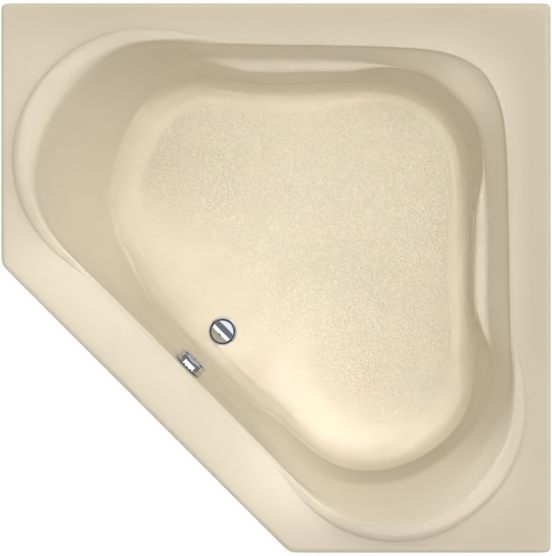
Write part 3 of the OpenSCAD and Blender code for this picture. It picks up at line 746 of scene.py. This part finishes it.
def threaded(bm, low, high, place, pitch=0.00175, steps=6, n=20):
    """Rod with a helical thread."""
    count = round((high - low) / pitch * steps)
    rings = [around(0, low, n)]
    for k in range(count + 1):
        ends = min(k, count - k, steps) / steps
        ring = []
        for i in range(n):
            wave = abs((k / steps - i / n) % 1 - 0.5) * 2
            r = STUD_R - 0.0009 * (1 - wave * ends)
            t = math.tau * i / n
            ring.append((r * math.cos(t), r * math.sin(t), low + k * (high - low) / count))
        rings.append(ring)
    skin(bm, rings + [around(0, high, n)], place)


def feet():
    for name, (s, w) in FEET.items():
        bm = bmesh.new()
        threaded(bm, 0.006, 0.0894, spot(s, w))
        finish_piece(bm, "threaded_stud_" + name, "foot_" + name, ZINC,
                     ["foot_stud_" + name], 60)
        bm = bmesh.new()
        wall = [(0, 0, 0), (0.0238, 0, 0), (0.0248, 0.0008, 0), (0.025, 0.0014, 0.0009),
                (0.025, 0.0062, 0.0009), (0.0243, 0.0072, 0), (0.0150, 0.0080, 0), (0.0130, 0.0092, 0),
                (0.0125, 0.0112, 0), (0.0118, 0.0120, 0), (0.0066, 0.0120, 0), (0.0060, 0.0112, 0),
                (0, 0.0112, 0)]
        skin(bm, [around(r, z, 180, 30, depth) for r, z, depth in wall], spot(s, w))
        finish_piece(bm, "rubber_pad_" + name, "foot_" + name, RUBBER,
                     ["foot_pad_" + name])


# Drain, stopper, waste and overflow

def along_s(s):
    return spot(s, 0, WASTE_Z) @ Matrix.Rotation(math.pi / 2, 4, "Y")


def crossbars(bm, reach, z, place):
    """Cross-shaped grid with its guide ring."""
    for turn in range(4):
        arm = place @ Matrix.Rotation(math.pi / 2 * turn, 4, "Z")
        block(bm, (0.0072, -0.002, z), (reach, 0.002, z + 0.008), 0.0006, arm)
    lathe(bm, ring_profile(0.0042, 0.008, z, z + 0.008), 48, place)


def drain():
    place = spot(DRAIN_S, 0, FLOOR_Z)
    bm = bmesh.new()
    low = 0.1057 - FLOOR_Z
    f = FLANGE_R
    lathe(bm, [(0.0195, low), (0.023, low), (0.023, -0.0002), (f - 0.001, -0.0002), (f, 0.0003),
               (f, 0.0012), (f - 0.0008, 0.0018), (f - 0.0020, 0.0023), (f - 0.0036, 0.0024),
               (f - 0.0042, 0.0021), (f - 0.0045, 0.0006), (f - 0.0050, 0.0003),
               (CAP_R - 0.0020, 0.0003), (CAP_R - 0.0035, 0.0012), (CAP_R - 0.0045, 0.0025),
               (0.0215, 0.0025), (0.0200, 0.0018), (0.0195, 0.0003), (0.0195, low)], 96, place)
    crossbars(bm, 0.0205, low, place)
    flange = finish_piece(bm, "drain_flange_chrome", "tub", CHROME, ["drain_flange"], 50)
    # The faces in the groove between cap and flange rim take the dark metal: painted shade in the groove
    flange.data.materials.append(GROOVE_SHADE)
    for face in flange.data.polygons:
        where = place.inverted() @ face.center
        if CAP_R - 0.002 < math.hypot(where.x, where.y) < f - 0.0042 and where.z > 0:
            face.material_index = 1
    bm = bmesh.new()
    steps = [math.sin(math.radians(t)) for t in range(84, -1, -6)]
    crown = [(CAP_R * out * 0.955, 0.0032 + 0.0052 * (1 - out ** 2)) for out in steps]
    lathe(bm, [(0, 0), (CAP_R - 0.003, 0), (CAP_R - 0.0008, 0.0003), (CAP_R, 0.0012),
               (CAP_R - 0.0002, 0.0022), (CAP_R - 0.0008, 0.0029)] + crown,
          96, spot(DRAIN_S, 0, FLOOR_Z + 0.005))
    finish_piece(bm, "stopper_dome", "stopper", CHROME, ["stopper_cap"], 60)
    bm = bmesh.new()
    place = spot(DRAIN_S)
    lathe(bm, [(0, 0.05295), (0.024, 0.05295), (0.0285, 0.0552), (0.030, 0.0595), (0.030, 0.1040),
               (0.0310, 0.1105), (0.0335, 0.1117), (0.0345, 0.1117), (0.035, 0.1123), (0.035, 0.1170),
               (0.0343, 0.1177), (0.0245, 0.1177), (0.0231, 0.1165), (0.0231, 0.0700), (0, 0.0700)],
          64, place)
    lathe(bm, [(0, 0.016), (0.0225, 0.016), (0.0225, 0.034), (0.0232, 0.036), (0.0232, 0.0515),
               (0.0226, 0.052), (BORE, 0.052), (BORE, 0.030), (0, 0.030)], 64, along_s(DRAIN_S))
    block(bm, (-0.008, 0.022, WASTE_Z - 0.009), (0.008, 0.054, WASTE_Z + 0.005), 0.0015, place)
    finish_piece(bm, "drain_shoe_moulding", "tub", PLASTIC, ["drain_shoe"], 45)


def waste():
    bm = bmesh.new()
    place = spot(PIPE_S)
    body = 0.02355
    lathe(bm, [(BORE, 0.050), (body - 0.0016, 0.050), (body - 0.0010, 0.0506), (body - 0.0010, 0.0610),
               (body, 0.0620), (body, 0.1060), (body - 0.0010, 0.1070), (body - 0.0010, 0.1174),
               (body - 0.0016, 0.118), (BORE, 0.118), (BORE, 0.050)], 64, place)
    lathe(bm, [(BORE, -0.034), (0.0222, -0.034), (0.0228, -0.0334), (0.0228, -0.0265),
               (0.0231, -0.0255), (0.0231, -0.014), (BORE, -0.014), (BORE, -0.034)], 64, along_s(PIPE_S))
    finish_piece(bm, "waste_tee_moulding", "tub", PLASTIC, ["waste_tee"], 45)
    bm = bmesh.new()
    for nut, flip in ((along_s(0.276), 0), (along_s(0.353), 1), (spot(PIPE_S, 0, 0.118), 0),
                      (spot(PIPE_S, 0, 0.035), 1), (spot(PIPE_S, 0, 0.415), 1)):
        wall = [(BORE, 0, 0), (0.0262, 0, 0), (0.0270, 0.0008, 0.0012), (0.0274, 0.0016, 0.0020),
                (0.0274, 0.0105, 0.0020), (0.0266, 0.0118, 0.0012), (0.0245, 0.0126, 0),
                (0.0230, 0.0145, 0), (0.0222, 0.015, 0), (BORE, 0.015, 0), (BORE, 0, 0)]
        if flip:
            wall = [(r, 0.015 - z, depth) for r, z, depth in wall]
        skin(bm, [around(r, z, 144, 12, depth) for r, z, depth in wall], nut)
    finish_piece(bm, "ribbed_slip_nuts", "tub", PLASTIC, ["slip_nuts"], 40)


def overflow():
    bm = bmesh.new()
    front, back = -0.0126, -0.0746
    lathe(bm, [(0, back), (0.026, back), (0.0310, back + 0.0016), (0.033, back + 0.0060),
               (0.033, front - 0.0100), (0.0326, front - 0.0092), (0.0326, front - 0.0062),
               (0.033, front - 0.0056), (0.033, front - 0.0008), (0.0324, front), (0.0240, front),
               (0.0231, front - 0.001), (0.0231, back + 0.005), (0, back + 0.005)], 64, on_wall())
    lathe(bm, [(BORE, 0.430), (0.0222, 0.430), (0.0228, 0.4306), (0.0228, 0.4440), (0.0231, 0.4450),
               (0.0231, 0.4735), (BORE, 0.4735), (BORE, 0.430)], 64, spot(PIPE_S))
    block(bm, (-0.004, 0.018, 0.430), (0.008, 0.046, 0.446), 0.0012, spot(PIPE_S))
    finish_piece(bm, "overflow_elbow_moulding", "tub", PLASTIC, ["overflow_body"], 45)


def turn_knob():
    """Hollow chrome cap with a bright front edge and water slots in its skirt."""
    n, slot_h = 180, 0.004
    slots = [i for i in range(n) if min(abs((i * 360 / n - c + 180) % 360 - 180)
                                        for c in (0, 16, -16, 180, 164, -164)) <= 3.9]

    def skirt(r, z):
        return [(x, y, max(z, slot_h) if i in slots else z)
                for i, (x, y, _) in enumerate(around(r, z, n))]

    bm = bmesh.new()
    r, t, wall = KNOB_R, KNOB_T, 0.003
    place = on_wall(KNOB_Z)
    face = [(r, slot_h + 0.001), (r, t - 0.0022), (r - 0.0003, t - 0.0012), (r - 0.0016, t - 0.0003),
            (r - 0.0030, t), (r - 0.0046, t - 0.0003), (r - 0.0056, t - 0.0010), (r - 0.0070, t - 0.0012),
            (0.022, t - 0.0007), (0, t - 0.0004)]
    hollow = [(0, t - wall), (r - wall - 0.001, t - wall), (r - wall, t - wall - 0.001),
              (r - wall, slot_h + 0.001)]
    hem = skirt(r - wall, 0.0004)
    skin(bm, [hem, skirt(r - wall + 0.0004, 0), skirt(r - 0.0006, 0), skirt(r, 0.0006)]
         + [around(*point, n) for point in face + hollow] + [hem], place)
    lathe(bm, [(0.0045, 0), (0.0105, 0), (0.011, 0.0005), (0.011, t - wall), (0.0045, t - wall),
               (0.0045, 0)], 48, place)
    finish_piece(bm, "overflow_turn_knob", "overflow_handle", CHROME, ["overflow_knob"], 40)


def dress(material, *nodes):
    """Gives carried-over CAD pieces a better material."""
    for node in nodes:
        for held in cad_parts[node].material_slots:
            held.material = material


bath()
rim_rails()
cradle()
fasteners()
feet()
drain()
waste()
overflow()
turn_knob()
dress(PLYWOOD, "floor_board")
dress(RUBBER, "drain_gasket", "stopper_seal", "overflow_gasket")
dress(CHROME, "stopper_stem", "overflow_trim")
dress(TUBE_FINISH, "waste_tube", "outlet_tailpiece", "overflow_pipe")
dress(ZINC, "overflow_spindle", "knob_screw", "cable_glands")
dress(PLASTIC, "overflow_cable_drum", "control_cable")


# Floor, light and camera

def stage():
    bm = bmesh.new()
    bmesh.ops.create_grid(bm, x_segments=1, y_segments=1, size=6)
    mesh = bpy.data.meshes.new("studio_floor")
    bm.to_mesh(mesh)
    bm.free()
    floor = bpy.data.objects.new("studio_floor", mesh)
    bpy.context.scene.collection.objects.link(floor)
    f = Finish("pale_floor", Roughness=0.7)
    seen = f.node("ShaderNodeLightPath", output="Is Camera Ray")
    f.set(Base_Color=(0.86, 0.86, 0.86))
    glow = f.node("ShaderNodeEmission", {}, {"Color": (1.0, 1.0, 1.0), "Strength": 1.06})
    lit = Value(f, f.shader.outputs[0])
    both = f.node("ShaderNodeMixShader", {}, {0: seen * 0.9, 1: lit, 2: glow})
    f.links.new(both.socket, f.nodes["Material Output"].inputs["Surface"])
    mesh.materials.append(f.material)


def lamp(name, place, target, size, power, turn=0):
    data = bpy.data.lights.new(name, "AREA")
    data.shape = "RECTANGLE"
    data.size, data.size_y = size
    data.energy = power
    light = bpy.data.objects.new(name, data)
    light.location = place
    aim = (Vector(target) - Vector(place)).to_track_quat("-Z", "Y").to_matrix()
    light.rotation_euler = (aim @ Matrix.Rotation(math.radians(turn), 3, "Z")).to_euler()
    bpy.context.scene.collection.objects.link(light)
    return light


SOFTBOX_Z = 4.6
SOFTBOX_SPREAD = math.radians(5)
AMBIENT = 0.53
REFLECTED = 0.20
SEEN = 1.0


def lights():
    """Three far panels, narrow softboxes over the basin and the dim sides of the deck, and a pale room."""
    lamp("key", (9.2, 9.2, 6.8), (0, 0, 0.3), (10, 4.4), 430)
    lamp("front", (-1.41, -1.41, 9.3), (0, 0, 0.3), (20, 2.4), 190)
    lamp("rear", (3.0, 3.0, 9.3), (0, 0, 0.3), (20, 2.8), 165)
    for name, x, y, size, power, turn in (("basin", 0.175, 0.175, (0.81, 0.81), 1.30, 0),
                                          ("left", -0.435, 0.29, (0.37, 0.58), 0.30, 0),
                                          ("right", 0.29, -0.425, (0.58, 0.35), 0.42, 0),
                                          ("front_deck", -0.26, -0.26, (1.05, 0.26), 0.23, -45),
                                          ("left_deck", -0.71, 0.36, (0.06, 0.70), 0.035, 0)):
        light = lamp(name, (x, y, SOFTBOX_Z), (x, y, 0.3), size, power, turn)
        light.data.spread = SOFTBOX_SPREAD
        light.visible_camera = light.visible_glossy = False
    world = bpy.data.worlds.new("studio")
    bpy.context.scene.world = world
    world.use_nodes = True
    nodes, links = world.node_tree.nodes, world.node_tree.links
    back = nodes["Background"]
    back.inputs["Color"].default_value = (1, 1, 1, 1)
    path = nodes.new("ShaderNodeLightPath")
    unseen, seen = nodes.new("ShaderNodeMapRange"), nodes.new("ShaderNodeMapRange")
    unseen.inputs["To Min"].default_value = AMBIENT
    unseen.inputs["To Max"].default_value = REFLECTED
    seen.inputs["To Max"].default_value = SEEN
    links.new(path.outputs["Is Glossy Ray"], unseen.inputs["Value"])
    links.new(path.outputs["Is Camera Ray"], seen.inputs["Value"])
    links.new(unseen.outputs["Result"], seen.inputs["To Min"])
    links.new(seen.outputs["Result"], back.inputs["Strength"])


# The picture's width and the deck's width in it, in pixels
PICTURE_W = 552
DECK_W = 551.2
CAMERA_H = 6.0
VIEW_W = PICTURE_W * DECK_SIDE / DECK_W


def camera():
    data = bpy.data.cameras.new("camera")
    data.sensor_fit = "HORIZONTAL"
    data.sensor_width = 36
    data.lens = 36 * CAMERA_H / VIEW_W
    data.clip_end = 50
    cam = bpy.data.objects.new("camera", data)
    cam.location = (0.0, 0.0, DECK_Z + CAMERA_H)
    bpy.context.scene.collection.objects.link(cam)
    bpy.context.scene.camera = cam


stage()
lights()
camera()
bpy.context.scene.view_settings.view_transform = "Standard"
